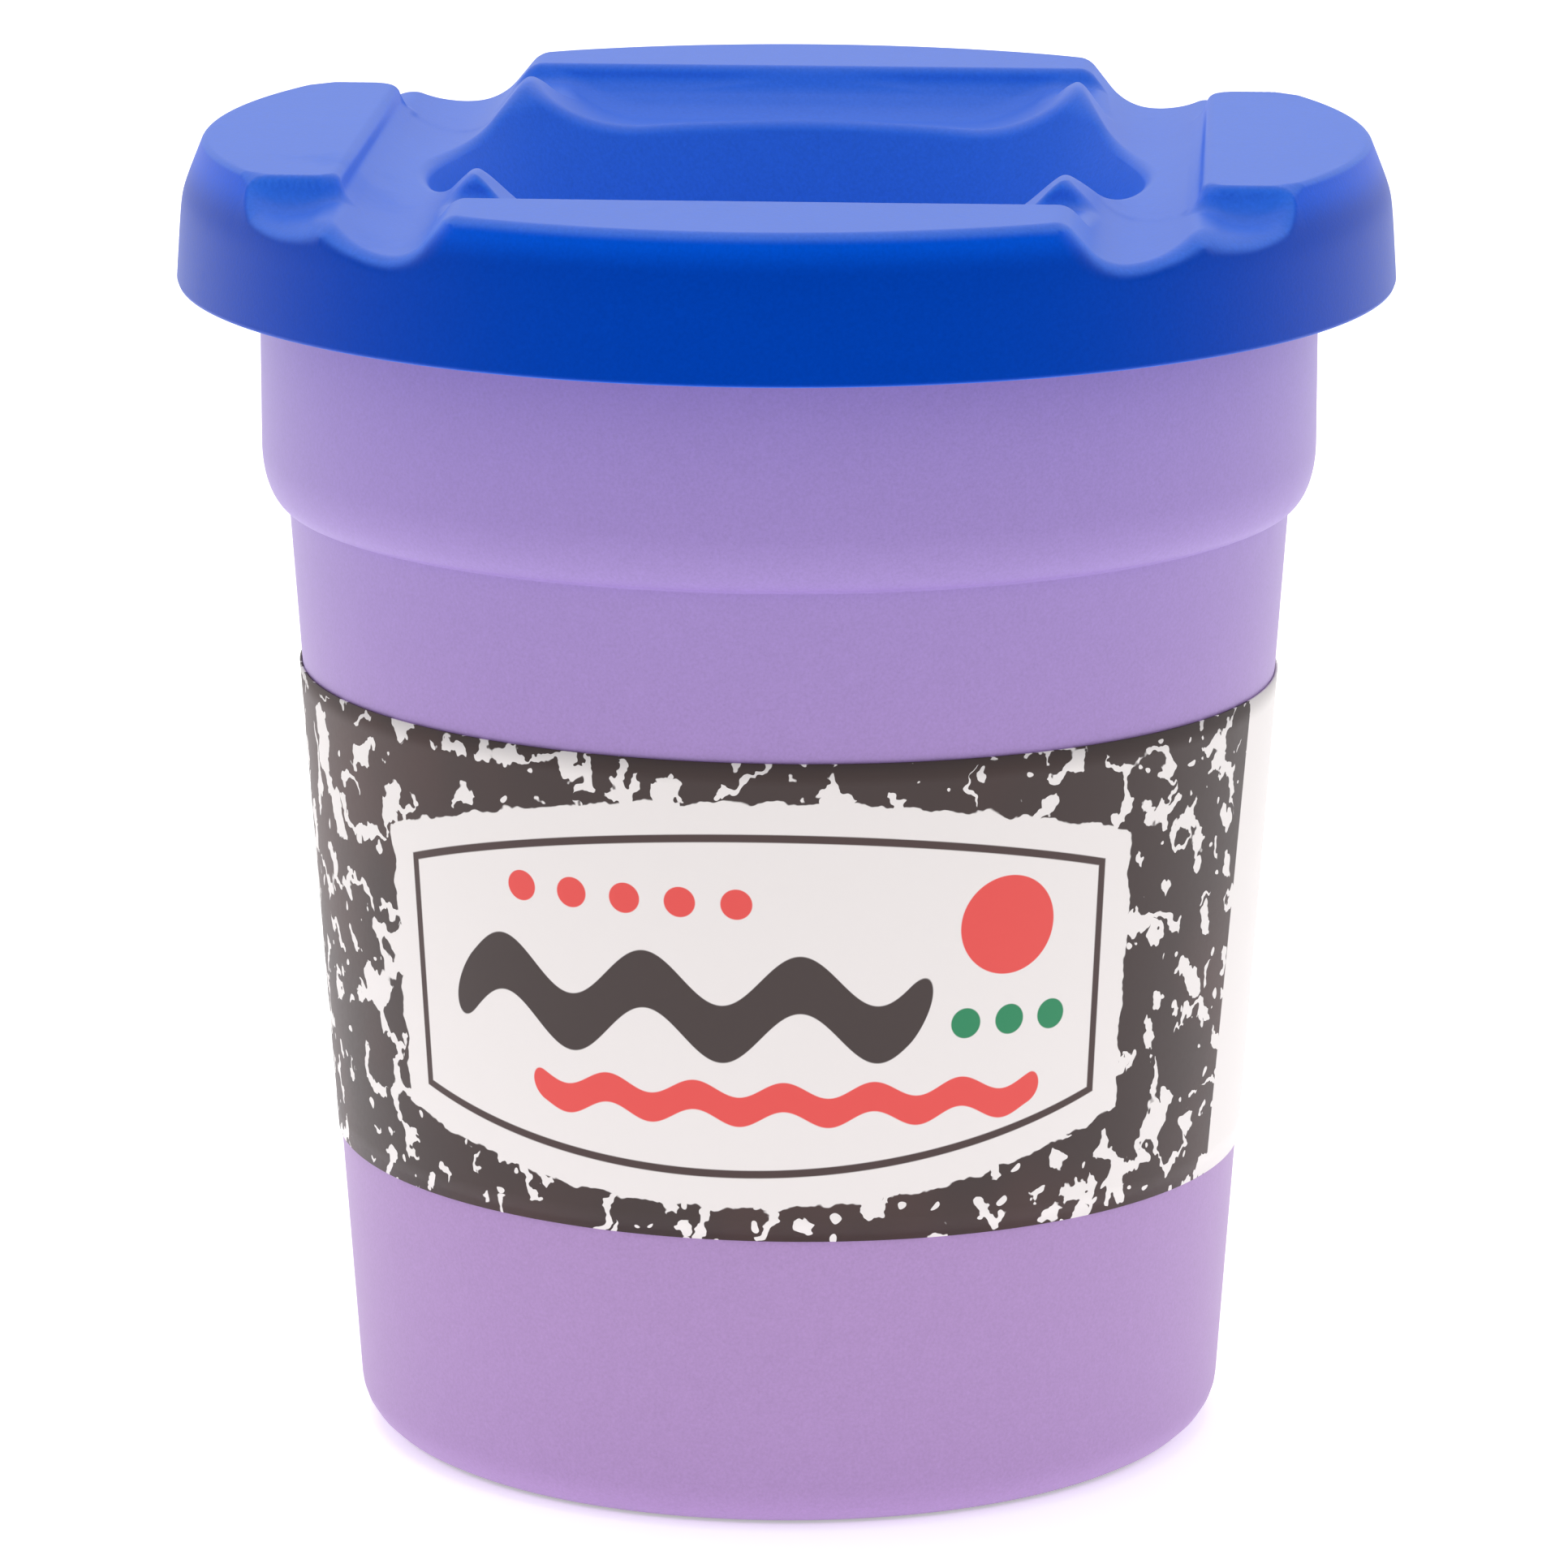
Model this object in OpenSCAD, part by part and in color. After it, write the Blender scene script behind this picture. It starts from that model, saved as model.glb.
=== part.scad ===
// Spill-proof paint cup with a press-on lid.
// Origin: middle of the foot, on the surface that the cup stands on. +Z is up.
// The brush channels of the lid run along Y, its side platforms lie on +X and -X.

/* [Cup] */
// Outer diameter of the tapered body, carried down to the foot
foot_d = 54.4; // [48:0.2:56]
// Outer diameter of the tapered body just below the step
body_top_d = 62.7; // [58:0.1:64]
// Height of the step between the tapered body and the band
step_z = 59.5; // [54:0.5:64]
// Outer diameter of the band above the step
band_d = 66; // [65:0.2:70]
// Height of the rim
cup_h = 77.6; // [72:0.1:84]
// Thickness of the cup's wall
wall_t = 1.2; // [0.9:0.1:1.6]
// Thickness of the cup's floor
floor_t = 1.4; // [1:0.1:3]
// Height over which the band rounds in to the step
shoulder_h = 3.7; // [2:0.1:6]
// Radius of the corner at the foot
foot_round = 3; // [2:0.1:5]
// Width of the ring that the cup stands on
foot_ring_w = 3.2; // [2:0.1:6]
// Depth of the hollow inside that ring
foot_hollow = 0.6; // [0.3:0.1:1]
// How far the rim stands out from the band
rim_w = 3.3; // [2:0.1:5]
// Thickness of the rim
rim_t = 1.5; // [1:0.1:2.5]

/* [Lid] */
// Thickness of the lid's wall
lid_t = 1.2; // [0.9:0.1:1.5]
// Height of the lid from the lower edge of its skirt to its top
lid_h = 8.95; // [8:0.05:14]
// Height of the upright part of the skirt
skirt_h = 5.5; // [4:0.1:7]
// How far the upright part of the skirt tapers in
skirt_taper = 0.35; // [0.1:0.05:0.4]
// How far the lid's top edge stands in from the skirt's lower edge
skirt_lean = 1.6; // [0.8:0.1:2]
// Clearance between the rim and the skirt
skirt_gap = 0.5; // [0.45:0.05:0.8]
// Clearance between the rim and the deck above it
seat_gap = 0.5; // [0.2:0.05:0.8]
// Depth of the plug ring below the rim's top
plug_h = 3.6; // [2:0.1:3.9]
// Clearance between the plug ring and the cup's wall
plug_gap = 0.25; // [0.15:0.05:0.5]

/* [Funnel] */
// Diameter of the funnel's mouth
mouth_d = 45.4; // [42:0.2:48]
// Radius of the mouth's rounded lip
mouth_round = 2.2; // [1.6:0.1:3]
// Diameter of the throat at the bottom of the funnel
throat_d = 28; // [20:0.5:34]
// Depth of the throat's lower edge below the lid's top
funnel_h = 28; // [18:0.5:40]
// Width of the ledge pocket's flat floor, between the funnel and the front and back walls
ledge_w = 18; // [12:0.5:24]
// Radius over which the ledge pocket rises to its corner peaks
ledge_end_r = 12; // [10:0.5:14]
// Distance of the front and back walls' inner face from the middle
wall_y = 25.9; // [24.5:0.1:27.5]
// Depth of the ledge pocket, which is also the radius of its cove
ledge_depth = 3.1; // [2.4:0.1:3.4]

/* [Brush rests] */
// Distance of each brush channel from the middle
rest_x = 22; // [20:0.1:22.4]
// Depth of the brush channels
rest_depth = 3.1; // [2.4:0.1:3.4]
// Radius of a channel's floor on the side of the funnel
rest_r = 2.9; // [2.4:0.1:3.4]
// Slope of a channel's bank on the side of the funnel, in degrees
rest_bank = 50; // [40:1:65]
// Radius of a channel's floor on the side of the platform
rest_outer_r = 7.1; // [6:0.1:9]
// Distance of the side platforms' inner edge from the middle
platform_x = 26.1; // [25.4:0.1:27]
// Lean of the platforms' inner edge
platform_lean = 0.5; // [0.2:0.1:0.8]
// Distance of the platforms' front and back edges from the middle
platform_y = 18.5; // [17:0.1:22]
// Depth of the hollows at the four corners
corner_depth = 2.8; // [2.4:0.1:3.4]
// Depth of the ridge between a corner hollow and the brush channel
ridge_depth = 1.6; // [1:0.1:2]
// Radius of the coves in the four corner hollows
corner_r = 2.95; // [2:0.05:3.4]

/* [Label] */
// Height of the label
label_h = 30.1; // [20:0.1:34]
// Height of the label's lower edge above the foot
label_z = 18.9; // [10:0.1:22]
// Thickness of the label
label_t = 0.15; // [0.1:0.01:0.3]
// Film of glue between the cup and the label
glue_t = 0.03; // [0.02:0.01:0.05]
// How far the label is stuck on out of level, in degrees
label_tilt = 0.55; // [0:0.05:1]

/* [Hidden] */
$fn = 128;

// Segments in each rounded corner or cove of a profile
arc_steps = 8;
// Overshoot of a cut past the face that it leaves through
over = 1;
// Half the length of a cut that runs right across the lid
reach = 60;

foot_r = foot_d / 2;
body_top_r = body_top_d / 2;
band_r = band_d / 2;
rim_r = band_r + rim_w;
band_in_r = band_r - wall_t;
cup_lean = atan((body_top_r - foot_r) / step_z);

lid_r = rim_r + skirt_gap + lid_t;
deepest = max(corner_depth, rest_depth, ledge_depth);
top_z = cup_h + seat_gap + lid_t + deepest;
skirt_z = top_z - lid_h;
mouth_r = mouth_d / 2;
throat_r = throat_d / 2;
throat_z = top_z - funnel_h;
plug_z = max(cup_h - plug_h, skirt_z + 0.1);
plug_r = band_in_r - plug_gap;

// Points on an arc about [x, y], from one angle to another
function arc_points(x, y, r, from, to) =
    [for (i = [0:arc_steps]) let (a = from + (to - from) * i / arc_steps) [x + r * cos(a), y + r * sin(a)]];

// Points on a quarter of an ellipse about [x, y]
function oval_points(x, y, rx, ry, from, to) =
    [for (i = [0:arc_steps]) let (a = from + (to - from) * i / arc_steps) [x + rx * cos(a), y + ry * sin(a)]];

// Outer radius of the tapered body at a height
function body_r(z) = foot_r + (body_top_r - foot_r) * z / step_z;

// A profile in X and Z, carried along Y through the whole lid
module along_y() {
    rotate([90, 0, 0])
        linear_extrude(2 * reach, center = true)
            children();
}

// A profile in Y and Z, carried along X through the whole lid
module along_x() {
    rotate([90, 0, 90])
        linear_extrude(2 * reach, center = true)
            children();
}

// The children and their mirror image across the Y axis
module both_sides() {
    children();
    mirror([1, 0, 0])
        children();
}

// Outline of the cup's outer face, from the foot's middle to the rim's top
function cup_outside() = concat(
    [[0, 0]],
    arc_points(body_r(foot_round) - foot_round, foot_round, foot_round, -90, -cup_lean),
    [[body_top_r, step_z]],
    oval_points(body_top_r, step_z + shoulder_h, band_r - body_top_r, shoulder_h, -80, 0),
    [
        [band_r, cup_h - rim_t],
        [rim_r, cup_h - rim_t],
        [rim_r, cup_h],
        [0, cup_h]
    ]
);

// Outline of the space inside the cup
function cup_inside() = concat(
    [[0, floor_t + foot_hollow]],
    arc_points(
        body_r(foot_round) - foot_round, floor_t + foot_hollow + foot_round - wall_t, foot_round - wall_t,
        -90, -cup_lean
    ),
    [
        [body_top_r - wall_t, step_z],
        [band_in_r, step_z + shoulder_h],
        [band_in_r, cup_h + over],
        [0, cup_h + over]
    ]
);

module cup() {
    color("mediumpurple")
        difference() {
            rotate_extrude()
                polygon(cup_outside());
            rotate_extrude()
                polygon(cup_inside());
            translate([0, 0, -over])
                cylinder(h = over + foot_hollow, r = foot_r - foot_round - foot_ring_w);
        }
}

// The tapered body, made larger all round by a film
module body_cone(film) {
    cylinder(h = step_z, r1 = foot_r + film, r2 = body_top_r + film);
}

module label() {
    color("whitesmoke")
        intersection() {
            difference() {
                body_cone(glue_t + label_t);
                body_cone(glue_t);
            }
            translate([0, 0, label_z + label_h / 2])
                rotate([0, label_tilt, 0])
                    cube([2 * reach, 2 * reach, label_h], center = true);
        }
}

// The lid's outer form, as a solid set in from the outside by a wall
module lid_form(inset, low_z) {
    rotate_extrude()
        polygon([
            [0, low_z],
            [lid_r - inset, low_z],
            [lid_r - skirt_taper - inset, skirt_z + skirt_h],
            [lid_r - skirt_lean - inset, top_z - inset],
            [0, top_z - inset]
        ]);
}

// One brush channel on the +X side, with its walls set out by a wall
module rest_cut(grow) {
    floor_z = top_z - rest_depth;
    bank_x = rest_x - (rest_r + grow) * sin(rest_bank);
    bank_z = floor_z + rest_r - (rest_r + grow) * cos(rest_bank);
    high_z = top_z + over;
    outer_a = asin((platform_x - platform_lean - rest_x) / rest_outer_r);
    along_y()
        polygon(concat(
            [[bank_x - (high_z - bank_z) / tan(rest_bank), high_z]],
            arc_points(rest_x, floor_z + rest_r, rest_r + grow, 270 - rest_bank, 270),
            arc_points(rest_x, floor_z + rest_outer_r, rest_outer_r + grow, 270, 270 + outer_a),
            [[platform_x + grow, high_z]]
        ));
}

// Hollow at the four corners, in front of and behind each platform on the +X side
module corner_cut(grow) {
    floor_z = top_z - corner_depth - grow;
    cove_r = corner_r + grow;
    cove_z = floor_z + cove_r;
    high_z = top_z + over;
    ridge_a = asin(1 - (corner_depth - ridge_depth) / corner_r);
    cove_x = platform_x + corner_r * cos(ridge_a);
    ridge_x = cove_x - cove_r * cos(ridge_a);
    ridge_z = cove_z - cove_r * sin(ridge_a);
    cove_y = platform_y + corner_r;
    for (side = [-1, 1])
        intersection() {
            along_y()
                polygon(concat(
                    [
                        [reach, high_z],
                        [ridge_x - over, high_z],
                        [ridge_x - over, ridge_z]
                    ],
                    arc_points(cove_x, cove_z, cove_r, 180 + ridge_a, 270),
                    [[reach, floor_z]]
                ));
            along_x()
                scale([side, 1])
                    polygon(concat(
                        [
                            [reach, high_z],
                            [cove_y - cove_r, high_z]
                        ],
                        arc_points(cove_y, cove_z, cove_r, 180, 270),
                        [[reach, floor_z]]
                    ));
        }
}

// Ledge pocket round the funnel's mouth, between the front and back walls
module ledge_cut(grow) {
    floor_z = top_z - ledge_depth - grow;
    cove_r = ledge_depth + grow;
    cove_y = wall_y - ledge_depth;
    end_r = ledge_end_r + grow;
    end_a = acos((end_r - ledge_depth - grow - over) / end_r);
    high_z = top_z + over;
    intersection() {
        along_x()
            polygon(concat(
                [
                    [cove_y + cove_r, high_z],
                    [-cove_y - cove_r, high_z]
                ],
                arc_points(-cove_y, top_z, cove_r, 180, 270),
                arc_points(cove_y, top_z, cove_r, 270, 360)
            ));
        along_y()
            polygon(concat(
                arc_points(-ledge_w / 2, floor_z + end_r, end_r, 270 - end_a, 270),
                arc_points(ledge_w / 2, floor_z + end_r, end_r, 270, 270 + end_a)
            ));
    }
}

// Everything that is sunk into the lid's top
module top_cuts(grow) {
    ledge_cut(grow);
    both_sides() {
        rest_cut(grow);
        corner_cut(grow);
    }
}

// The funnel as a solid, set out by a wall, from a height up to the lid's top
module funnel_form(grow, low_z) {
    lip_z = top_z - mouth_round;
    lip_r = mouth_round - grow;
    wall_slope = (mouth_r - throat_r) / (lip_z - throat_z);
    rotate_extrude()
        polygon(concat(
            [
                [0, low_z],
                [throat_r + grow + (low_z - throat_z) * wall_slope, low_z]
            ],
            arc_points(mouth_r + mouth_round, lip_z, lip_r, 180, 90),
            [
                [mouth_r + mouth_round, top_z + over],
                [0, top_z + over]
            ]
        ));
}

// The ring that plugs the cup's mouth
module plug_ring() {
    translate([0, 0, plug_z])
        difference() {
            cylinder(h = top_z - plug_z, r = plug_r);
            translate([0, 0, -over])
                cylinder(h = top_z - plug_z + 2 * over, r = plug_r - lid_t);
        }
}

module lid() {
    color("royalblue")
        difference() {
            union() {
                lid_form(0, skirt_z);
                intersection() {
                    funnel_form(lid_t, throat_z);
                    translate([0, 0, throat_z])
                        cylinder(h = skirt_z - throat_z + over, r = lid_r - over);
                }
            }
            top_cuts(0);
            funnel_form(0, throat_z - over);
            difference() {
                lid_form(lid_t, skirt_z - over);
                top_cuts(lid_t);
                funnel_form(lid_t, throat_z);
                plug_ring();
            }
        }
}

cup();
label();
lid();
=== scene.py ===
# Spill-proof paint cup with a press-on lid: its looks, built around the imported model.
# The forms are worked out in millimetres and end up in metres.
# +Z is up, -Y is the front, and the middle of the foot is the origin.
import math

import bpy
import numpy as np
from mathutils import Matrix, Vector


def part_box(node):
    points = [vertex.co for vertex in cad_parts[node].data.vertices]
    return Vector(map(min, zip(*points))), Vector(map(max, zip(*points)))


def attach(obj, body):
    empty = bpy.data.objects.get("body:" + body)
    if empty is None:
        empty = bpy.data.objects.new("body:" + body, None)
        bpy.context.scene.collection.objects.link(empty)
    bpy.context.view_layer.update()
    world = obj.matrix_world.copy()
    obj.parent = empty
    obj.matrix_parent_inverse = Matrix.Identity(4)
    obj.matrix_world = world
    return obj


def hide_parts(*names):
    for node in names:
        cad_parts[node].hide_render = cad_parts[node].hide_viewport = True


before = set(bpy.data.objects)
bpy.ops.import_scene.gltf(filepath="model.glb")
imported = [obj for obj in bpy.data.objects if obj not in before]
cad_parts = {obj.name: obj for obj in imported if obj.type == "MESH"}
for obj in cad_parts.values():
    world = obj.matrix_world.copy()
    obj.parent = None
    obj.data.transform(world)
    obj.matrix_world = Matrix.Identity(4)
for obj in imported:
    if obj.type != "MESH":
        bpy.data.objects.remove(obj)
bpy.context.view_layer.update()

MM = 0.001


def box_mm(node):
    """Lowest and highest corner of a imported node, in millimetres."""
    return [np.array(corner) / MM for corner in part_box(node)]


# Sizes of the cup
RIM_R, CUP_H = box_mm("cup")[1][[0, 2]]
BAND_R = 33.0
WALL = 1.2
RIM_T = 1.5
STEP_Z = 59.5
SHOULDER_H = 3.7
BODY_TOP_R = 31.35
FOOT_R = 27.2
FOOT_ROUND = 3.0
FOOT_RING_W = 3.2
FOOT_HOLLOW = 0.6
FLOOR_Z = 2.0
CENTRE_R = 0.5
CUP_SECTIONS = 288
CUP_STEP = 2.0

# Sizes of the lid
LID_R, TOP = box_mm("lid")[1][[0, 2]]
THROAT_Z = box_mm("lid")[0][2]
LID_T = 1.2
SKIRT_Z = TOP - 8.95
SKIRT_H = 5.5
SKIRT_TAPER = 0.35
SKIRT_BEND = 0.7
MOUTH_R = 22.7
LIP_R = 2.2
THROAT_R = 14.0
FUNNEL_LEAN = math.atan((MOUTH_R - THROAT_R) / (TOP - LIP_R - THROAT_Z))
PLUG_Z = 74.0
PLUG_R = 31.55

# The pocket before each wall: a riser down to a crease, then a slope with a curved floor at its ends
FRONT_WALL_Y = 25.2
BACK_WALL_Y = 26.5
CREASE_DEPTH = 1.1
CREASE_FILLET = 0.9
LEDGE_SLOPE = math.radians(34)
LEDGE_DEPTH = 2.95
LEDGE_FILLET = 0.8
LEDGE_X = 10.3
LEDGE_END_R = 9.0
LEDGE_END_BANK = 50

# The peaks at the pocket's corners, and the notch between each peak and the wall
PEAK_X = 17.4
PEAK_Y = 18.2
PEAK_RISE = 0.6
PEAK_SPREAD = 12.0
PEAK_R = 26.4
PEAK_FILLET = 0.8
NOTCH_X = 21.5
NOTCH_LEAN = 0.06
NOTCH_FILLET = 0.5
NOTCH_EDGE = 0.4

# The channels that brushes rest in
REST_X = 22.0
REST_DEPTH = 2.9
REST_CROWN = 0.02
REST_R = 3.2
REST_BANK = 50
REST_OUTER_R = 5.8

# The side platforms, and the hollow past each of their ends
PLATFORM_X = 26.1
PLATFORM_LEAN = 0.5
PLATFORM_Y = 18.5
PLATFORM_CORNER = 1.6
CORNER_X = 29.2
CORNER_DEPTH = 2.35
CORNER_R = 4.5
CORNER_BANK = 42
CORNER_OUTER_X = 28.9
CORNER_OUTER_R = 2.3
CORNER_OUTER_BANK = 62
CORNER_RIM = 0.5
CORNER_RISER = 1.2
CORNER_SLOPE = math.radians(41)
CORNER_FILLET = 0.6
CHANNEL_EDGE = 1.1

# Edges that grow and shrink, in pairs: a distance from the axis and the rounding there
LEDGE_EDGES = [(23.0, 0.6), (24.2, 0.75), (26.5, 0.75), (28.0, 0.7)]
SIDE_EDGES = [(23.0, 0.6), (24.2, 0.5), (26.5, 0.5), (28.5, 0.45)]

# The outer edge, in pairs: a turn in degrees from the side, and the rounding or the inset there
OUTER_EDGES = [(28, 0.35), (33, 1.6), (44, 1.6), (50, 1.0), (60, 1.0), (64, 0.85)]
OUTER_INSETS = [(30, 1.55), (58, 0.6)]

# The lid's mesh: rows on each face, the height of its closed edges, and where rays start and end
OUTER_ROWS = 104
LINING_ROWS = 18
UNDER_ROWS = 24
LOW_EDGE = 0.3
RAY_DEPTH = 37.0
RAY_LENGTH = 40.0
HALVINGS = 22
SMOOTHINGS = 14
HUB_IN = 4.0
HUB_DOWN = 7.4
FINE_R = 21.8
FINE_TURNS = (26, 64)

# How the lid sits on the cup: a little low in front and on the right
LID_PITCH = math.radians(0.77)
LID_ROLL = math.radians(0.14)
LID_SHIFT = -0.15
LID_PIVOT_Z = 78.0

# Sizes of the label
LABEL_Z = 18.9
LABEL_H = 30.1
LABEL_T = 0.15
LABEL_GLUE = 0.03
LABEL_TILT = math.radians(0.55)
LABEL_LAP = 5.0
LAP_GAP = 0.02
LAP_LIFT_FROM = 2.2
LABEL_SECTIONS = 400
LABEL_ROWS = 22

# The label's print, measured round the cup from the front and up from the table
PRINT_R = 29.6
PANEL_X = -0.9
PANEL_TOP = 46.6
PANEL_BOTTOM = 20.9
PANEL_HALF_W = 24.9
PANEL_TILT = 0.02
PANEL_TOP_BOW = 0.0064
PANEL_BOTTOM_BOW = 0.0068
PANEL_TEAR = 1.3
FRAME_INSET = 2.25
FRAME_HALF_W = 0.25
STRIP_FROM = 34.4
STRIP_TO = 62.05
STRIP_LEAN = 0.05
PRINT_BLUR = 0.05
INK_BLUR = 0.04

# The floor, and what the lamps look at, in metres
FLOOR_R = 4.0
FLOOR_DROP = -0.00001
CUP_MIDDLE = 0.045

# Light
SKY_LOW = 0.22
SKY_HIGH = 0.9
SKY_RISE = 0.9
SKY_FROM = -0.95
SKY_TO = 0.35
FLOOR_GLOW = 0.4

# The camera, as fitted to the photograph, whose pixels give the focal length and the shift
PHOTO_PIXELS = 1932
FOCAL_PIXELS = 10355
SHIFT_PIXELS = -6.3
CAMERA_DISTANCE = 0.5187
CAMERA_HEIGHT = 0.1591
CAMERA_YAW = math.radians(3.3)
CAMERA_PITCH = math.radians(12.85)
SENSOR_MM = 36


def body_r(z):
    """Outer radius of the tapered body at a height."""
    return FOOT_R + (BODY_TOP_R - FOOT_R) * z / STEP_Z


def round_max(a, b, radius):
    """Where two forms overlap, each given as a distance, with the edge between them rounded."""
    past_a, past_b = np.maximum(a + radius, 0), np.maximum(b + radius, 0)
    return np.minimum(np.maximum(a, b), -radius) + np.hypot(past_a, past_b)


def round_min(a, b, radius):
    """Both forms together, with the corner between them filled at a radius."""
    return -round_max(-a, -b, radius)


def bowl(side, up, radius, steepest):
    """Distance into a hollow whose floor curves up to a slope in degrees, seen from its arc's middle."""
    slope = np.clip(np.arctan2(side, -up), 0, math.radians(steepest))
    return radius - side * np.sin(slope) + up * np.cos(slope)


def graded(at, pairs):
    """A size that changes evenly from each of some places to the next."""
    places, sizes = zip(*pairs)
    return np.interp(at, places, sizes)


def lid_side(r, z, turn):
    """Distance out of the skirt and of the leaning faces above it, which meet it in a soft bend."""
    lean = (graded(turn, OUTER_INSETS) - SKIRT_TAPER) / (TOP - SKIRT_Z - SKIRT_H)
    climb = z - SKIRT_Z
    above = (climb - SKIRT_H + np.hypot(climb - SKIRT_H, SKIRT_BEND)) / 2
    face_r = LID_R - SKIRT_TAPER * climb / SKIRT_H - lean * above
    return (r - face_r) / np.hypot(1, lean)


def lid_mouth(r, z):
    """Distance into the funnel, over its rounded lip and up from the lid's top."""
    lip_x, lip_z = MOUTH_R + LIP_R, TOP - LIP_R
    slope = np.clip(np.arctan2(z - lip_z, lip_x - r), FUNNEL_LEAN, math.pi / 2)
    return (lip_x - r) * np.cos(slope) + (z - lip_z) * np.sin(slope) - LIP_R


def lid_ledge(x, y, z, wall_y):
    """Distance into the pocket before a wall, and into the notches between that wall and the peaks."""
    before = wall_y - y
    climb = z - TOP + CREASE_DEPTH
    slope = climb * math.cos(LEDGE_SLOPE) + before * math.sin(LEDGE_SLOPE)
    ends = bowl(x - LEDGE_X, z - TOP + LEDGE_DEPTH - LEDGE_END_R, LEDGE_END_R, LEDGE_END_BANK)
    notch = round_min(climb + before * NOTCH_LEAN, np.hypot(x, y) - PEAK_R, PEAK_FILLET)
    notch = round_min(notch, NOTCH_X - x, NOTCH_FILLET)
    pocket = round_max(round_min(slope, ends, LEDGE_FILLET), notch, NOTCH_EDGE)
    return round_min(before, pocket, CREASE_FILLET)


def lid_sides(x, y, z):
    """Distance into the brush channels and the hollows past the ends of the side platforms."""
    floor = TOP - REST_DEPTH + REST_CROWN * (LID_R - np.hypot(x, y))
    slope = math.asin((PLATFORM_X - PLATFORM_LEAN - REST_X) / REST_OUTER_R)
    foot_z = TOP - REST_DEPTH + REST_OUTER_R * (1 - math.cos(slope))
    lean = PLATFORM_LEAN / (TOP - foot_z)
    inner = bowl(REST_X - x, z - floor - REST_R, REST_R, REST_BANK)
    outer = bowl(x - REST_X, z - floor - REST_OUTER_R, REST_OUTER_R, math.degrees(slope))
    channel = np.where(x < REST_X, inner, outer)
    hollow = bowl(CORNER_X - x, z - TOP + CORNER_DEPTH - CORNER_R, CORNER_R, CORNER_BANK)
    outer_up = z - TOP + CORNER_DEPTH - CORNER_OUTER_R
    rim = bowl(x - CORNER_OUTER_X, outer_up, CORNER_OUTER_R, CORNER_OUTER_BANK)
    hollow = round_min(hollow, rim, CORNER_RIM)
    beside = (PLATFORM_X - PLATFORM_LEAN + lean * (z - foot_z) - x) / math.hypot(1, lean)
    below = (z - TOP + CORNER_RISER) * math.cos(CORNER_SLOPE) + (y - PLATFORM_Y) * math.sin(CORNER_SLOPE)
    before = round_min(y - PLATFORM_Y, below, CORNER_FILLET)
    floors = round_max(channel, hollow, CHANNEL_EDGE)
    return round_min(floors, round_max(beside, before, PLATFORM_CORNER), CORNER_FILLET)


def lid_skin(x, y, z):
    """Distance out of the lid's outer face, below zero inside it."""
    wall_y = np.where(y < 0, FRONT_WALL_Y, BACK_WALL_Y)
    x, y = abs(x), abs(y)
    r = np.hypot(x, y)
    turn = np.degrees(np.arctan2(y, x))
    peak = PEAK_RISE * np.exp(-((x - PEAK_X) ** 2 + (y - PEAK_Y) ** 2) / PEAK_SPREAD)
    roof = round_max(lid_mouth(r, z - peak), lid_ledge(x, y, z, wall_y), graded(r, LEDGE_EDGES))
    roof = round_max(roof, lid_sides(x, y, z), graded(r, SIDE_EDGES))
    return round_max(lid_side(r, z, turn), roof, graded(turn, OUTER_EDGES))


def cast(turns, rays, level):
    """Where sets of rays (starts, ways) leave the lid's skin at a level, as [section, ray, (r, z)]."""
    starts, ways = (np.vstack(part) for part in zip(*rays))
    near = np.zeros((len(turns), len(starts)))
    far = np.full_like(near, RAY_LENGTH)
    cos, sin = np.cos(turns)[:, None], np.sin(turns)[:, None]
    for _ in range(HALVINGS):
        middle = (near + far) / 2
        r = starts[:, 0] + ways[:, 0] * middle
        z = starts[:, 1] + ways[:, 1] * middle
        inside = lid_skin(r * cos, r * sin, z) < level
        near = np.where(inside, middle, near)
        far = np.where(inside, far, middle)
    return np.stack([r, z], -1)


def straight_up(radii):
    """Rays that start deep inside at some radii and go straight up."""
    starts = np.stack([radii, np.full_like(radii, TOP - RAY_DEPTH)], -1)
    return starts, np.tile([0.0, 1.0], (len(radii), 1))


def over_the_edge(count, low_z):
    """Rays that turn from straight up to straight out, then run down the skirt."""
    hub = np.array([LID_R - HUB_IN, TOP - HUB_DOWN])
    turn = np.linspace(math.pi / 2, 0, count)
    down = np.linspace(hub[1], low_z, 14)[1:]
    starts = np.vstack([np.tile(hub, (count, 1)), np.stack([np.full_like(down, hub[0]), down], -1)])
    ways = np.vstack([np.stack([np.cos(turn), np.sin(turn)], -1), np.tile([1.0, 0.0], (len(down), 1))])
    return starts, ways


def respace(lines, rows, pull, plain_z):
    """The same lines with fewer points, close together where a line bends and sparse below a height.

    The choice of points changes little from one line to the next, so the mesh between them isn't skewed.
    """
    steps = np.diff(lines, axis=1)
    angle = np.unwrap(np.arctan2(steps[..., 1], steps[..., 0]), axis=1)
    bend = np.abs(np.diff(angle, axis=1, prepend=angle[:, :1]))
    share = np.where(lines[:, 1:, 1] < plain_z, 0.25, 1.0)
    weight = np.hypot(steps[..., 0], steps[..., 1]) * share + pull * bend
    along = np.cumsum(weight, axis=1)
    along = np.hstack([np.zeros((len(lines), 1)), along]) / along[:, -1:]
    rays = np.arange(lines.shape[1])
    picks = np.array([np.interp(np.linspace(0, 1, rows), a, rays) for a in along])
    for _ in range(SMOOTHINGS):
        picks = (np.roll(picks, 1, axis=0) + 2 * picks + np.roll(picks, -1, axis=0)) / 4
    columns = [[np.interp(pick, rays, axis) for axis in line.T] for pick, line in zip(picks, lines)]
    return np.array(columns).swapaxes(1, 2)


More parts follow.
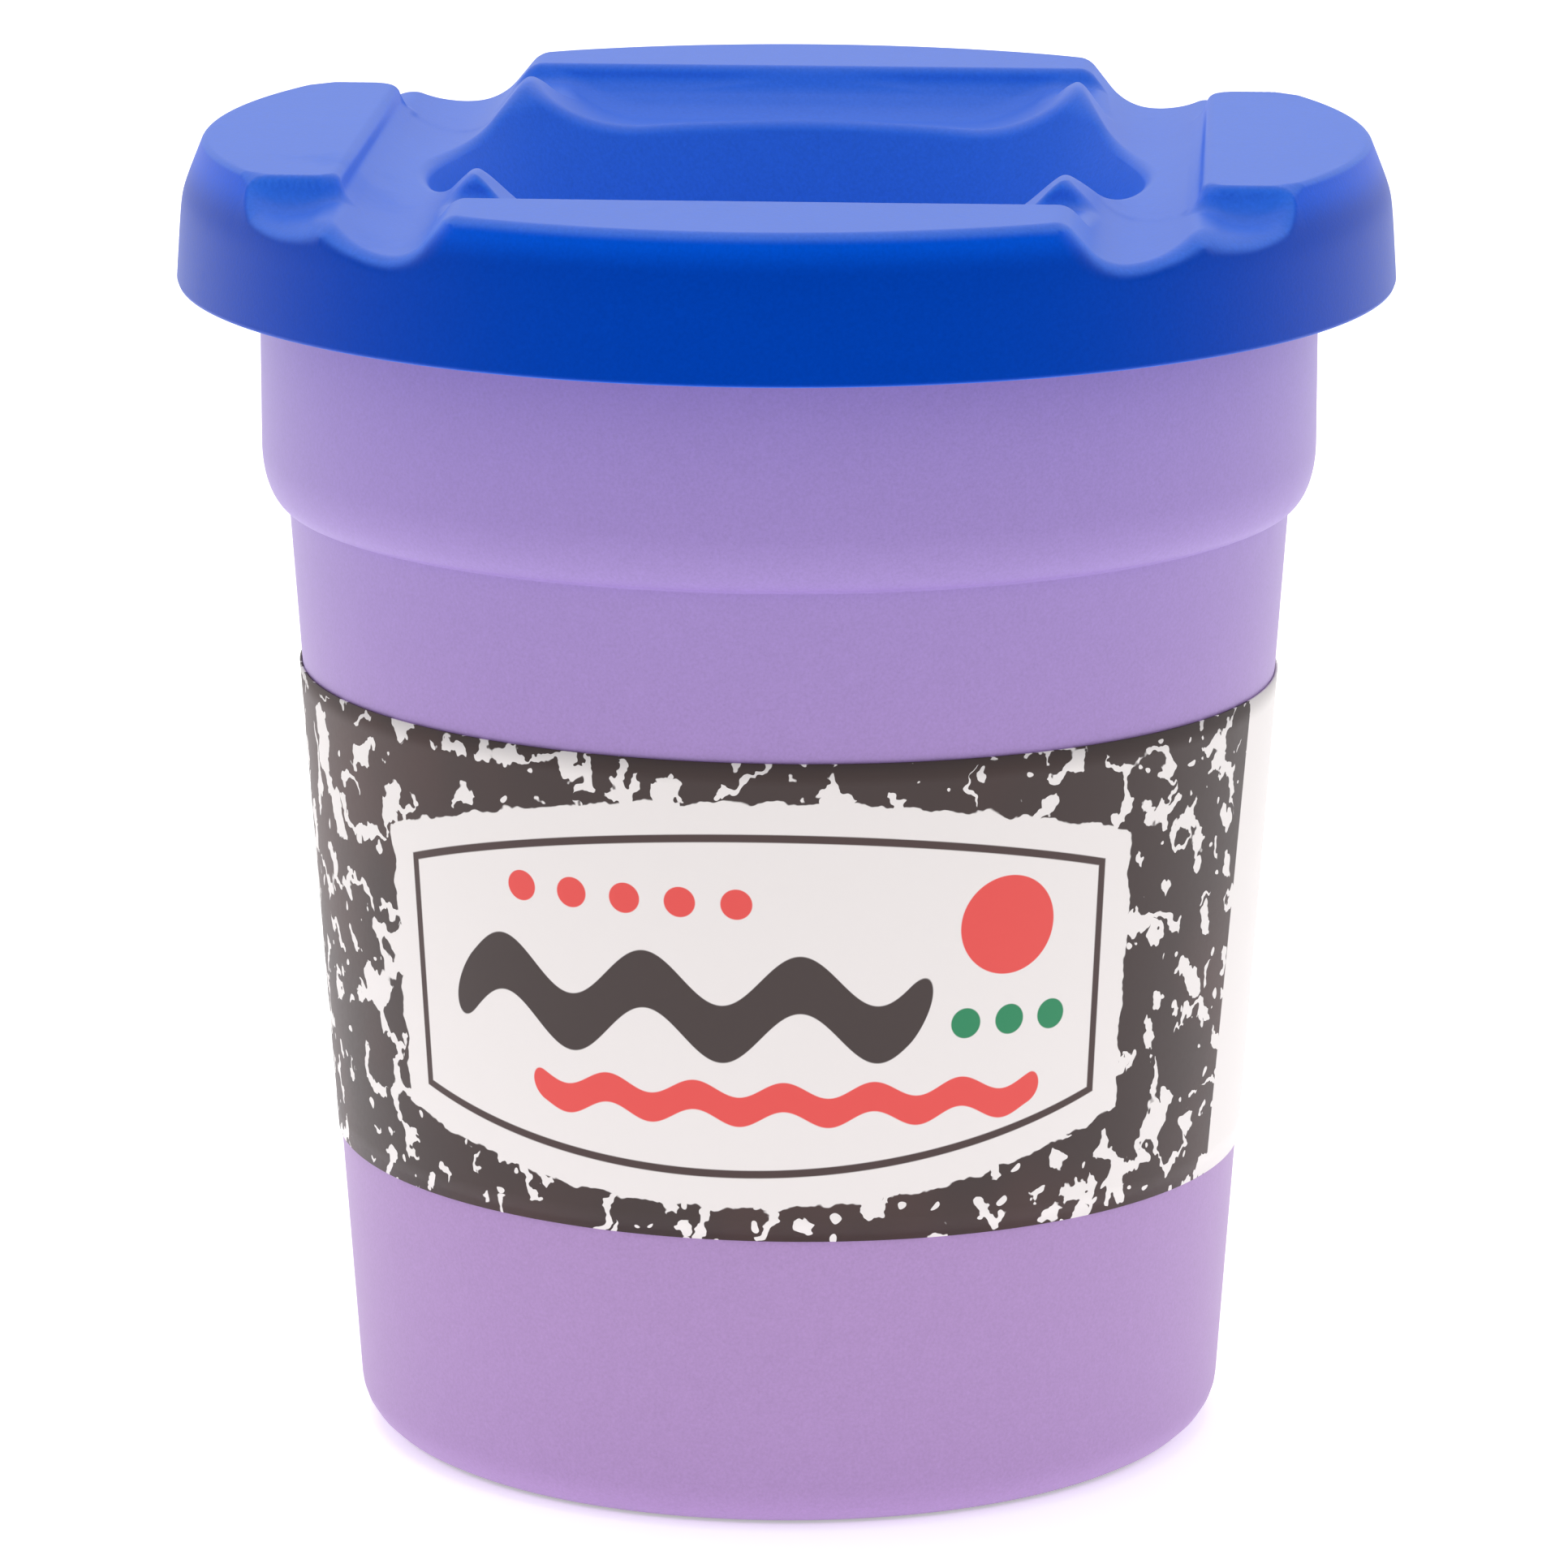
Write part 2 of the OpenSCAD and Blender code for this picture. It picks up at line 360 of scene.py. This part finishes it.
def settle(lines, turns, level):
    """Moves points within their section planes until they lie on the lid's skin."""
    cos, sin = np.cos(turns)[:, None], np.sin(turns)[:, None]
    reach = 0.004

    def height(r, z):
        return lid_skin(r * cos, r * sin, z) - level

    for _ in range(3):
        r, z = lines[..., 0], lines[..., 1]
        here = height(r, z)
        out = height(r + reach, z) - height(r - reach, z)
        up = height(r, z + reach) - height(r, z - reach)
        slope = np.stack([out, up], -1) / (2 * reach)
        size = np.maximum((slope**2).sum(-1), 0.25)
        lines = lines - np.clip(here / size, -0.05, 0.05)[..., None] * slope
    return lines


def lip(first, last, drop, count):
    """Rows that close an edge from one line's end to another's, bulging squarely by a drop."""
    middle, half = (first + last) / 2, (first - last) / 2
    square = 0.6
    rows = []
    for angle in np.linspace(0, math.pi, count + 2)[1:-1]:
        across = math.copysign(abs(math.cos(angle)) ** square, math.cos(angle))
        fall = np.array([0, drop]) * math.sin(angle) ** square
        rows.append(middle + half * across - fall)
    return np.stack(rows, 1)


def section_turns():
    """The turns of the lid's section planes, closer together where the corners are."""
    first, last = FINE_TURNS
    wide, fine, end = np.linspace(0, first, 28), np.linspace(first, last, 95), np.linspace(last, 90, 29)
    quarter = np.radians(np.concatenate([wide, fine[1:], end[1:]]))
    half = np.concatenate([quarter, math.pi - quarter[-2::-1]])
    return np.concatenate([half, math.pi + half[1:-1]])


def low_throat_r():
    """Radius of the funnel's inner face just above its closed low edge."""
    fall = TOP - LIP_R - THROAT_Z - LOW_EDGE
    return MOUTH_R + LIP_R - (LIP_R + fall * math.sin(FUNNEL_LEAN)) / math.cos(FUNNEL_LEAN)


def outer_face(turns):
    """From the funnel's throat up, over the lid's top and down the skirt."""
    funnel = np.linspace(low_throat_r(), FINE_R, 40)[:-1]
    roof = np.linspace(FINE_R, LID_R - HUB_IN, 300)[:-1]
    rays = [straight_up(np.concatenate([funnel, roof])), over_the_edge(170, SKIRT_Z + LOW_EDGE)]
    lines = respace(cast(turns, rays, 0), OUTER_ROWS, pull=1.6, plain_z=TOP - 5)
    return settle(lines, turns, 0)


def skirt_lining(turns):
    """Up the inside of the skirt and in to the plug ring."""
    roof = straight_up(np.linspace(PLUG_R + 0.1, LID_R - HUB_IN, 12)[:-1])
    rays = [roof, over_the_edge(60, SKIRT_Z + LOW_EDGE)]
    return respace(cast(turns, rays, -LID_T)[:, ::-1], LINING_ROWS, pull=1.0, plain_z=0)


def plug_faces(turns):
    """The outer face of the plug ring going down, and its inner face going up."""
    roots = cast(turns, [straight_up(np.array([PLUG_R, PLUG_R - LID_T]))], -LID_T)

    def fall(start, share):
        low = PLUG_Z + LOW_EDGE
        return np.stack([start[:, 0], start[:, 1] + (low - start[:, 1]) * share], -1)

    down = np.stack([fall(roots[:, 0], share) for share in (0.05, 0.5, 1)], 1)
    up = np.stack([fall(roots[:, 1], share) for share in (1, 0.5, 0.05)], 1)
    return down, up


def underside(turns):
    """From the plug ring in under the roof and down the outside of the funnel."""
    throat_r = low_throat_r() + LID_T / math.cos(FUNNEL_LEAN)
    rays = [straight_up(np.linspace(PLUG_R - LID_T - 0.1, throat_r, 220))]
    return respace(cast(turns, rays, -LID_T), UNDER_ROWS, pull=1.2, plain_z=TOP - 7)


def lid_lines(turns):
    """The closed skin of the lid, as a line of points in each section plane."""
    outer, lining, under = outer_face(turns), skirt_lining(turns), underside(turns)
    plug_down, plug_up = plug_faces(turns)
    return np.concatenate([
        outer,
        lip(outer[:, -1], lining[:, 0], LOW_EDGE, 4),
        lining,
        plug_down,
        lip(plug_down[:, -1], plug_up[:, 0], LOW_EDGE, 3),
        plug_up,
        under,
        lip(under[:, -1], outer[:, 0], LOW_EDGE, 4),
    ], 1)


def swept(lines, turns):
    """Points [row, column, xyz] of lines [section, row, (r, z)] that stand in planes round the axis."""
    r, z = lines[..., 0].T, lines[..., 1].T
    return np.stack([r * np.cos(turns), r * np.sin(turns), z], -1)


def skin(name, points, wrap_rows=True, wrap_columns=True):
    """A smooth mesh over a grid of points in millimetres. A side that isn't wrapped gets caps."""
    index = np.arange(points.shape[0] * points.shape[1]).reshape(points.shape[:2])
    caps = []
    if not wrap_rows:
        caps = [index[0], index[-1, ::-1]]
    if not wrap_columns:
        caps = [index[::-1, 0], index[:, -1]]
    if wrap_rows:
        index = np.vstack([index, index[:1]])
    if wrap_columns:
        index = np.hstack([index, index[:, :1]])
    corners = [index[:-1, :-1], index[1:, :-1], index[1:, 1:], index[:-1, 1:]]
    faces = np.stack(corners, -1).reshape(-1, 4)
    spots = (points.reshape(-1, 3) * MM).tolist()
    mesh = bpy.data.meshes.new(name)
    mesh.from_pydata(spots, [], faces.tolist() + [cap.tolist() for cap in caps])
    mesh.polygons.foreach_set("use_smooth", [True] * len(faces) + [False] * len(caps))
    mesh.validate()
    piece = bpy.data.objects.new(name, mesh)
    bpy.context.scene.collection.objects.link(piece)
    return piece


def turned(first, second, angle):
    """Two coordinates after a turn that takes the first towards the second."""
    cos, sin = math.cos(angle), math.sin(angle)
    return first * cos - second * sin, first * sin + second * cos


def seated(points):
    """The lid's points as it was pressed on: pitched, rolled and shifted a little."""
    x, y, z = points[..., 0], points[..., 1], points[..., 2] - LID_PIVOT_Z
    y, z = turned(y, z, LID_PITCH)
    x, z = turned(x, z, -LID_ROLL)
    return np.stack([x + LID_SHIFT, y, z + LID_PIVOT_Z], -1)


def outward(points):
    """Which way the lid's outer face points, at points on it."""
    ways = []
    for step in np.eye(3) * 0.01:
        ahead, behind = (lid_skin(*np.moveaxis(points + way, -1, 0)) for way in (step, -step))
        ways.append(ahead - behind)
    return np.stack(ways, -1)


def make_lid():
    """The lid, shaded by the true form of its outer face and not by its facets."""
    turns = section_turns()
    points = swept(lid_lines(turns), turns)
    ways = np.zeros_like(points)
    ways[:OUTER_ROWS] = outward(points[:OUTER_ROWS])
    lid = skin("lid_shell", seated(points))
    normals = seated(ways) - seated(np.zeros(3))
    lid.data.normals_split_custom_set_from_vertices(normals.reshape(-1, 3).tolist())
    return lid


def rounded(corners, step):
    """A line through corners (r, z, radius), with each corner rounded and long runs split up."""
    line = [np.array(corners[0][:2])]
    for before, here, after in zip(corners, corners[1:], corners[2:]):
        point = np.array(here[:2])
        come, go = (np.array(other[:2]) - point for other in (before, after))
        come, go = come / np.linalg.norm(come), go / np.linalg.norm(go)
        half = math.acos(max(-1.0, min(1.0, come @ go))) / 2
        middle = point + (come + go) / max(np.linalg.norm(come + go), 1e-9) * here[2] / math.sin(half)
        first, last = (point + way * here[2] / math.tan(half) - middle for way in (come, go))
        for share in np.linspace(0, 1, 8 if here[2] else 1):
            arm = first * (1 - share) + last * share
            line.append(middle + (arm / np.linalg.norm(arm) * here[2] if here[2] else arm))
    line.append(np.array(corners[-1][:2]))
    fine = [line[0]]
    for a, b in zip(line, line[1:]):
        parts = max(1, math.ceil(np.linalg.norm(b - a) / step))
        fine += [a + (b - a) * i / parts for i in range(1, parts + 1)]
    return np.array(fine)


def make_cup():
    """The cup, from the middle of its floor up the inside, over the rim and down to the foot's middle."""
    shoulder = [
        (BODY_TOP_R + (BAND_R - BODY_TOP_R) * math.cos(a), STEP_Z + SHOULDER_H * (1 - math.sin(a)), 0)
        for a in np.radians(np.linspace(0, 82, 16))
    ]
    ring_r = FOOT_R - FOOT_ROUND - FOOT_RING_W
    corners = [
        (CENTRE_R, FLOOR_Z, 0),
        (body_r(FLOOR_Z) - WALL, FLOOR_Z, 2.2),
        (BODY_TOP_R - WALL, STEP_Z, 1.5),
        (BAND_R - WALL, STEP_Z + SHOULDER_H, 1.5),
        (BAND_R - WALL, CUP_H, 0.5),
        (RIM_R, CUP_H, 0.5),
        (RIM_R, CUP_H - RIM_T, 0.4),
        (BAND_R, CUP_H - RIM_T, 0.6),
        *shoulder,
        (BODY_TOP_R, STEP_Z, 0.12),
        (FOOT_R, 0, FOOT_ROUND),
        (ring_r, 0, 0.25),
        (ring_r, FOOT_HOLLOW, 0.2),
        (CENTRE_R, FOOT_HOLLOW, 0),
    ]
    line = rounded(corners, CUP_STEP)
    turns = np.linspace(0, 2 * math.pi, CUP_SECTIONS, endpoint=False)
    return skin("cup_shell", swept(np.tile(line, (len(turns), 1, 1)), turns), wrap_rows=False)


def make_label():
    """The paper wrap, whose end laps over its start at the back."""
    lap = LABEL_LAP / body_r(LABEL_Z)
    turns = np.linspace(math.pi / 2, math.pi / 2 + 2 * math.pi + lap, LABEL_SECTIONS)
    past = np.clip((turns - turns[-1]) / lap + LAP_LIFT_FROM, 0, 1)
    lift = (LABEL_T + LAP_GAP) * past**2 * (3 - 2 * past)
    heights = np.linspace(0, LABEL_H, LABEL_ROWS)
    drop = math.tan(LABEL_TILT) * body_r(LABEL_Z + LABEL_H / 2) * np.cos(turns)
    z = LABEL_Z + heights[:, None] - drop
    inner = body_r(z) + LABEL_GLUE + lift
    r = np.vstack([inner, (inner + LABEL_T)[::-1]])
    z = np.vstack([z, z[::-1]])
    points = np.stack([r * np.cos(turns), r * np.sin(turns), z], -1)
    return skin("label_wrap", points, wrap_columns=False)


def linear(red, green, blue):
    """A colour as the scene needs it, from 0 to 255 as a screen shows it."""
    shares = [value / 255 for value in (red, green, blue)]
    return [s / 12.92 if s <= 0.04 else ((s + 0.055) / 1.055) ** 2.4 for s in shares] + [1.0]


BLACK = linear(0, 0, 0)
WHITE = linear(255, 255, 255)


class Wire:
    """A shader value in arithmetic: each expression adds its Math nodes."""

    def __init__(self, finish, socket):
        self.finish = finish
        self.socket = socket

    def math(self, operation, *others):
        inputs = dict(enumerate((self, *others)))
        return self.finish.node("ShaderNodeMath", {"operation": operation}, inputs)

    def __add__(self, other):
        return self.math("ADD", other)

    __radd__ = __add__

    def __sub__(self, other):
        return self.math("SUBTRACT", other)

    def __rsub__(self, other):
        return (-self).math("ADD", other)

    def __mul__(self, other):
        return self.math("MULTIPLY", other)

    __rmul__ = __mul__

    def __truediv__(self, other):
        return self.math("DIVIDE", other)

    def __rtruediv__(self, other):
        return other * self.math("POWER", -1)

    def __neg__(self):
        return self.math("MULTIPLY", -1)

    def __abs__(self):
        return self.math("ABSOLUTE")

    def at_most(self, other):
        return self.math("MINIMUM", other)

    def at_least(self, other):
        return self.math("MAXIMUM", other)

    def ramp(self, low, high):
        """0 below low and 1 above high, with a soft rise between them."""
        inputs = {"Value": self, "From Min": low, "From Max": high}
        return self.finish.node("ShaderNodeMapRange", {"interpolation_type": "SMOOTHSTEP"}, inputs)

    def past(self, level, blur):
        """0 below a level and 1 above it, blurred a little to both sides."""
        return self.ramp(level - blur, level + blur)


class Finish:
    """The nodes that make a material, or the world."""

    def __init__(self, owner, surface="Principled BSDF"):
        self.owner = owner
        self.tree = owner.node_tree
        self.surface = self.tree.nodes[surface]

    def node(self, kind, settings=None, inputs=None, output=0):
        """Adds a node, sets it up, fills its sockets and gives one of its outputs."""
        made = self.tree.nodes.new(kind)
        for key, value in (settings or {}).items():
            setattr(made, key, value)
        for key, value in (inputs or {}).items():
            self.fill(made.inputs[key], value)
        return Wire(self, made.outputs[output])

    def seen(self):
        """1 for rays that show the surroundings straight, in a reflection or through clear things."""
        straight = self.node("ShaderNodeLightPath", output="Is Camera Ray")
        mirrored = self.node("ShaderNodeLightPath", output="Is Glossy Ray")
        through = self.node("ShaderNodeLightPath", output="Is Transmission Ray")
        return straight.at_least(mirrored).at_least(through)

    def fill(self, socket, value):
        """Links a shader value to a socket, or sets it to a constant."""
        if isinstance(value, Wire):
            self.tree.links.new(value.socket, socket)
        else:
            socket.default_value = value

    def place(self):
        """Where a point is on the piece, in metres."""
        return self.node("ShaderNodeTexCoord", output="Object")

    def parts(self, vector):
        """The three numbers of a vector."""
        split = self.node("ShaderNodeSeparateXYZ", inputs={0: vector}).socket.node
        return [Wire(self, output) for output in split.outputs]

    def noise(self, vector, scale, detail=2.0, roughness=0.5, output=0):
        """Noise with some waves per metre, as a number, or as a vector from output 1."""
        inputs = {"Vector": vector, "Scale": scale, "Detail": detail, "Roughness": roughness}
        return self.node("ShaderNodeTexNoise", None, inputs, output)

    def mix(self, factor, first, second):
        """A colour between two colours."""
        return self.node("ShaderNodeMix", {"data_type": "RGBA"}, {0: factor, 6: first, 7: second}, 2)

    def moved(self, vector, way, far):
        """A place moved by a share of another vector."""
        inputs = {0: way, 1: [far] * 3, 2: vector}
        return self.node("ShaderNodeVectorMath", {"operation": "MULTIPLY_ADD"}, inputs)

    def scaled(self, colour, factor):
        """A colour made lighter or darker."""
        return self.node("ShaderNodeVectorMath", {"operation": "SCALE"}, {0: colour, "Scale": factor})

    def bump(self, height, strength, distance, under=None):
        """A bent normal, on top of another bump if one is given."""
        inputs = {"Height": height, "Strength": strength, "Distance": distance}
        if under:
            inputs["Normal"] = under
        return self.node("ShaderNodeBump", None, inputs)

    def dress(self, **values):
        """Sets the surface's sockets, given as plain words for their names."""
        for key, value in values.items():
            self.fill(self.surface.inputs[key.replace("_", " ")], value)
        return self.owner


def new_finish(name):
    """A new material, ready for its nodes."""
    material = bpy.data.materials.new(name)
    material.use_nodes = True
    return Finish(material)


def moulded(finish, colour, rough, grain, glint):
    """Moulded plastic: drifts of pigment, a fine matt grain and faint handling marks."""
    place = finish.place()
    drift = finish.noise(place, 28, 3, 0.55).ramp(0.3, 0.7)
    mottle = finish.noise(place, 900, 2, 0.6).ramp(0.35, 0.75)
    grain_height = finish.noise(place, grain, 3, 0.65)
    dips = finish.noise(place, 160, 2, 0.5)
    rubs = finish.noise(place, 70, 4, 0.7).ramp(0.56, 0.74)
    tone = 0.82 + 0.03 * drift + 0.02 * mottle + 0.36 * grain_height
    skin_bump = finish.bump(dips, 0.25, 0.00006)
    return finish.dress(
        Base_Color=finish.scaled(colour, tone),
        Roughness=rough + 0.07 * grain_height + 0.05 * rubs,
        Normal=finish.bump(grain_height, 0.35, 0.00003, skin_bump),
        IOR=1.46,
        Specular_Tint=glint,
    )


def lilac_plastic():
    """The cup's plastic, with painted bounce light: pinker towards the foot and bluer under the lid."""
    finish = new_finish("lilac_plastic")
    height = finish.parts(finish.place())[2] / MM
    # Painted bounce light: from 25 to 80 mm up, the colour turns from a pinker lilac (warm light bounced up
    # from the table) to a bluer one (blue light off the lid).
    colour = finish.mix(height.ramp(25, 80), linear(162, 130, 182), linear(151, 129, 198))
    return moulded(finish, colour, 0.42, 5200, WHITE)


def blue_plastic():
    """The lid's plastic, lit and shaded in its colour: painted shade makes it deeper blue round its
    outside, painted light makes its inner walls a clearer blue, and a painted sheen makes the faces that
    look up paler.
    """
    finish = new_finish("blue_plastic")
    x, y, z = finish.parts(finish.place())
    across, along, upward = finish.parts(finish.node("ShaderNodeNewGeometry", output="Normal"))
    radius = (x * x + y * y).math("SQRT")
    # Painted shade and light: faces that look outwards, from 29 mm out from the axis, take the darker blues
    # of a shaded skirt, and the walls of the pockets and the funnel take a lighter blue of painted light.
    outside = ((x * across + y * along) / radius).ramp(0.6, 0.9) * (radius / MM).ramp(29, 33)
    # Painted shade on those outer faces: darkest low on the skirt, lighter towards the top edge.
    deep = finish.mix((z / MM).ramp(TOP - 3.0, TOP - 0.9), linear(0, 60, 170), linear(0, 80, 208))
    lit_and_shaded_walls = finish.mix(outside, linear(50, 110, 223), deep)
    # Painted sheen: faces that look up get a paler blue, for the light that falls on them from above.
    colour = finish.mix(upward.ramp(0.3, 0.95), lit_and_shaded_walls, linear(60, 101, 198))
    return moulded(finish, colour, 0.40, 4200, linear(20, 110, 255))


def marble_print(finish, place):
    """1 on the white worms, islands and dots of a notebook's marble."""
    torn = finish.moved(place, finish.noise(place, 760, 2, 0.55, output=1), 0.0019)
    bands = abs(finish.noise(torn, 215, 1) - 0.5)
    patches = finish.noise(torn, 330, 1)
    worms = (((patches - 0.48) * 0.55).at_most(0.036) - bands).past(0, 0.003)
    islands = finish.noise(torn, 430, 0).past(0.715, 0.005)
    dots = finish.noise(place, 1000, 0).past(0.775, 0.005)
    return worms.at_least(islands).at_least(dots)


def panel_depth(across, up):
    """Distance inside the panel's edge, which bows out above and below and stands a little out of level."""
    along = across - PANEL_X
    rise = along * PANEL_TILT
    bow = along * along
    top = PANEL_TOP + rise - bow * PANEL_TOP_BOW - up
    bottom = up - PANEL_BOTTOM - rise - bow * PANEL_BOTTOM_BOW
    return top.at_most(bottom).at_most(PANEL_HALF_W - abs(along))


def disc(across, up, at, height, radius):
    """Distance inside a printed disc."""
    aside, above = across - at, up - height
    return radius - (aside * aside + above * above).math("SQRT")


def stroke(across, up, left, right, height, wave, pitch, thick):
    """Distance inside a printed stroke that waves up and down."""
    swing = (across * (2 * math.pi / pitch)).math("SINE") * wave
    beyond = (left - across).at_least(across - right).at_least(0)
    off = (up - height - swing) * 0.8
    return thick - (beyond * beyond + off * off).math("SQRT")


def ink(*shapes):
    """1 on any of some printed shapes."""
    joined = shapes[0]
    for shape in shapes[1:]:
        joined = joined.at_least(shape)
    return joined.past(0, INK_BLUR)


def panel_print(finish, across, up, depth, paper):
    """The panel's colour: a frame line, a black wave, a red wave, and plain discs."""
    frame_line = (FRAME_HALF_W - abs(depth - FRAME_INSET)).past(0, PRINT_BLUR)
    black_wave = stroke(across, up, left=-19, right=9, height=33.6, wave=1.6, pitch=9.5, thick=1.45)
    red_wave = stroke(across, up, left=-14, right=17, height=27.6, wave=0.5, pitch=5.5, thick=0.75)
    red_row = [disc(across, up, -15 + 3.4 * i, 40.2, 0.95) for i in range(5)]
    red_disc = disc(across, up, 15.2, 38.4, 3.1)
    green_row = [disc(across, up, 12.6 + 2.9 * i, 32.4, 0.95) for i in range(3)]
    colour = finish.mix(frame_line, paper, linear(66, 47, 45))
    colour = finish.mix(ink(black_wave), colour, linear(58, 45, 43))
    colour = finish.mix(ink(red_wave, *red_row, red_disc), colour, linear(222, 74, 70))
    return finish.mix(ink(*green_row), colour, linear(28, 128, 84))


def label_paper():
    """Printed wrap: notebook marble, a framed panel with plain waves and discs, and a blank strip."""
    finish = new_finish("printed_paper")
    place = finish.place()
    x, y, z = (axis / MM for axis in finish.parts(place))
    across = x.math("ARCTAN2", -y) * PRINT_R
    up = z + x * math.tan(LABEL_TILT)
    paper = linear(228, 222, 220)

    # Painted reflection: lighter, warmer patches in the black stand in for the soft sheen on the paper.
    painted_sheen = finish.noise(place, 60, 2).ramp(0.45, 0.7)
    black = finish.mix(painted_sheen, linear(54, 39, 37), linear(68, 44, 41))
    colour = finish.mix(marble_print(finish, place), black, paper)

    depth = panel_depth(across, up)
    torn_depth = depth + (finish.noise(place, 650, 2) - 0.5) * PANEL_TEAR
    panel = panel_print(finish, across, up, depth, paper)
    colour = finish.mix(torn_depth.past(0, PRINT_BLUR), colour, panel)

    leaning = across - up * STRIP_LEAN
    strip = leaning.past(STRIP_FROM, PRINT_BLUR) * (1 - leaning.past(STRIP_TO, PRINT_BLUR))
    colour = finish.mix(strip, colour, paper)

    fibre = finish.noise(place, 2600, 3, 0.6)
    waves = finish.bump(finish.noise(place, 90, 2), 0.2, 0.0001)
    return finish.dress(
        Base_Color=colour,
        Roughness=0.42 + 0.08 * fibre,
        Normal=finish.bump(fibre, 0.15, 0.00002, waves),
        IOR=1.45,
    )


def make_stage():
    """A pale floor that keeps the shadow and goes out in white."""
    turns = np.linspace(0, 2 * math.pi, 96, endpoint=False)
    rim = np.stack([FLOOR_R * np.cos(turns), FLOOR_R * np.sin(turns), np.full_like(turns, FLOOR_DROP)], -1)
    mesh = bpy.data.meshes.new("floor")
    mesh.from_pydata(rim.tolist(), [], [list(range(len(turns)))])
    floor = bpy.data.objects.new("floor", mesh)
    bpy.context.scene.collection.objects.link(floor)
    finish = new_finish("floor")
    finish.dress(
        Base_Color=linear(245, 245, 246),
        Roughness=0.9,
        Specular_IOR_Level=0.0,
        Emission_Color=finish.mix(finish.seen(), BLACK, WHITE),
        Emission_Strength=FLOOR_GLOW,
    )
    floor.data.materials.append(finish.owner)


def make_world():
    """White behind everything, and as light darker low in front than behind and above."""
    world = bpy.data.worlds.new("studio")
    bpy.context.scene.world = world
    world.use_nodes = True
    sky = Finish(world, "Background")
    _, back, up = sky.parts(sky.node("ShaderNodeTexCoord", output="Generated"))
    light = (back + up * SKY_RISE).ramp(SKY_FROM, SKY_TO) * (SKY_HIGH - SKY_LOW) + SKY_LOW
    sky.dress(Color=sky.mix(light.at_least(sky.seen()), BLACK, WHITE), Strength=1.0)


def make_lamp(name, place, size, power):
    """A soft round lamp that looks at the middle of the cup and leaves no glint."""
    data = bpy.data.lights.new(name, "AREA")
    data.shape = "DISK"
    data.size = size
    data.energy = power
    lamp = bpy.data.objects.new(name, data)
    lamp.visible_camera = False
    lamp.visible_glossy = False
    lamp.location = place
    lamp.rotation_mode = "QUATERNION"
    lamp.rotation_quaternion = (Vector((0, 0, CUP_MIDDLE)) - Vector(place)).to_track_quat("-Z", "Y")
    bpy.context.scene.collection.objects.link(lamp)


def make_camera():
    """The photograph's view: a long lens, a little above the lid and a little to the right."""
    data = bpy.data.cameras.new("camera")
    data.sensor_width = SENSOR_MM
    data.lens = SENSOR_MM * FOCAL_PIXELS / PHOTO_PIXELS
    data.shift_x = SHIFT_PIXELS / PHOTO_PIXELS
    data.clip_start, data.clip_end = 0.01, 50
    camera = bpy.data.objects.new("camera", data)
    aside, before = CAMERA_DISTANCE * math.sin(CAMERA_YAW), CAMERA_DISTANCE * math.cos(CAMERA_YAW)
    camera.location = (aside, -before, CAMERA_HEIGHT)
    camera.rotation_euler = (math.pi / 2 - CAMERA_PITCH, 0, CAMERA_YAW)
    bpy.context.scene.collection.objects.link(camera)
    bpy.context.scene.camera = camera


make_camera()
make_world()
make_stage()
make_lamp("top_lamp", place=(-0.1, 0.2, 1.0), size=0.9, power=4.5)
make_lamp("front_lamp", place=(0.1, -0.95, 0.5), size=0.8, power=0.7)
make_lamp("table_light", place=(0, 0, 0.0002), size=0.25, power=0.115)

for make, node, body, slot, material in [
    (make_cup, "cup", "cup_body", "cup_plastic", lilac_plastic()),
    (make_label, "label", "cup_body", "label_paper", label_paper()),
    (make_lid, "lid", "lid_body", "lid_plastic", blue_plastic()),
]:
    piece = make()
    piece.data.materials.append(material)
    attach(piece, body)
    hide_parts(node)

bpy.context.scene.view_settings.view_transform = "Standard"
